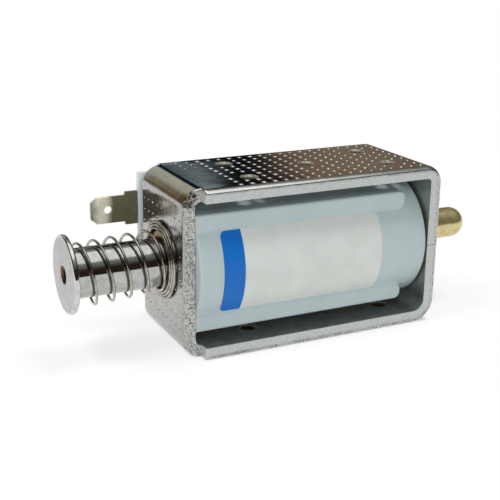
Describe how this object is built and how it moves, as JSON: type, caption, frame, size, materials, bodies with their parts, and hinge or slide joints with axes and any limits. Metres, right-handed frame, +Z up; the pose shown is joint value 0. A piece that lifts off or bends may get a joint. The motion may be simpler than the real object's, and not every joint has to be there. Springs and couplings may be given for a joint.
{
  "type": "push-pull solenoid",
  "caption": "Open-frame push-pull solenoid: steel box frame, moulded coil cover, sprung plunger with a disc, brass push rod and blade terminals.",
  "frame": {"origin": "on the lower mounting face, at the middle of its four tapped holes", "axes": "+X along the plunger towards the push rod, +Z up from the lower mounting face, -Y towards the labelled open side"},
  "size_m": [0.104, 0.0313, 0.0382],
  "materials": {
    "frame_steel": "nickel-plated mild steel strip, blanked and bent, sheared edges left rough",
    "cover_plastic": "moulded pale grey-blue plastic, fine matte",
    "label_film": "satin printed film, bare but for a plain blue band",
    "bobbin_plastic": "moulded natural nylon",
    "winding_copper": "enamelled copper wire",
    "winding_tape": "polyester insulating tape",
    "washer_fibre": "vulcanised fibre sheet, stamped",
    "tube_brass": "drawn brass tube",
    "pole_steel": "turned mild steel",
    "plunger_steel": "turned, nickel-plated and polished steel",
    "disc_steel": "nickel-plated steel, matte face",
    "rod_brass": "turned brass",
    "tip_brass": "turned brass, satin",
    "spring_wire": "drawn spring wire",
    "block_nylon": "moulded translucent nylon",
    "terminal_brass": "tinned, tarnished brass strip"
  },
  "bodies": {
    "housing": {"frame": "frame_steel", "coil_cover": "cover_plastic", "cover_label": "label_film", "bobbin": "bobbin_plastic", "coil_winding": "winding_copper", "winding_tape": "winding_tape", "fibre_washer": "washer_fibre", "guide_tube": "tube_brass", "pole_piece": "pole_steel", "stop_washer": "tube_brass", "return_spring": "spring_wire", "terminal_block": "block_nylon", "upper_terminal": "terminal_brass", "lower_terminal": "terminal_brass", "lead_wires": "winding_copper"},
    "armature": {"plunger": "plunger_steel", "plunger_disc": "disc_steel", "push_rod": "rod_brass", "push_tip": "tip_brass"}
  },
  "joints": [
    {"name": "plunger_slide", "type": "slide", "parent": "housing", "child": "armature", "axis": [1, 0, 0], "range_m": [0, 0.015], "stiffness_N_per_m": 150, "springref_m": -0.015, "deforming": ["return_spring"]}
  ]
}
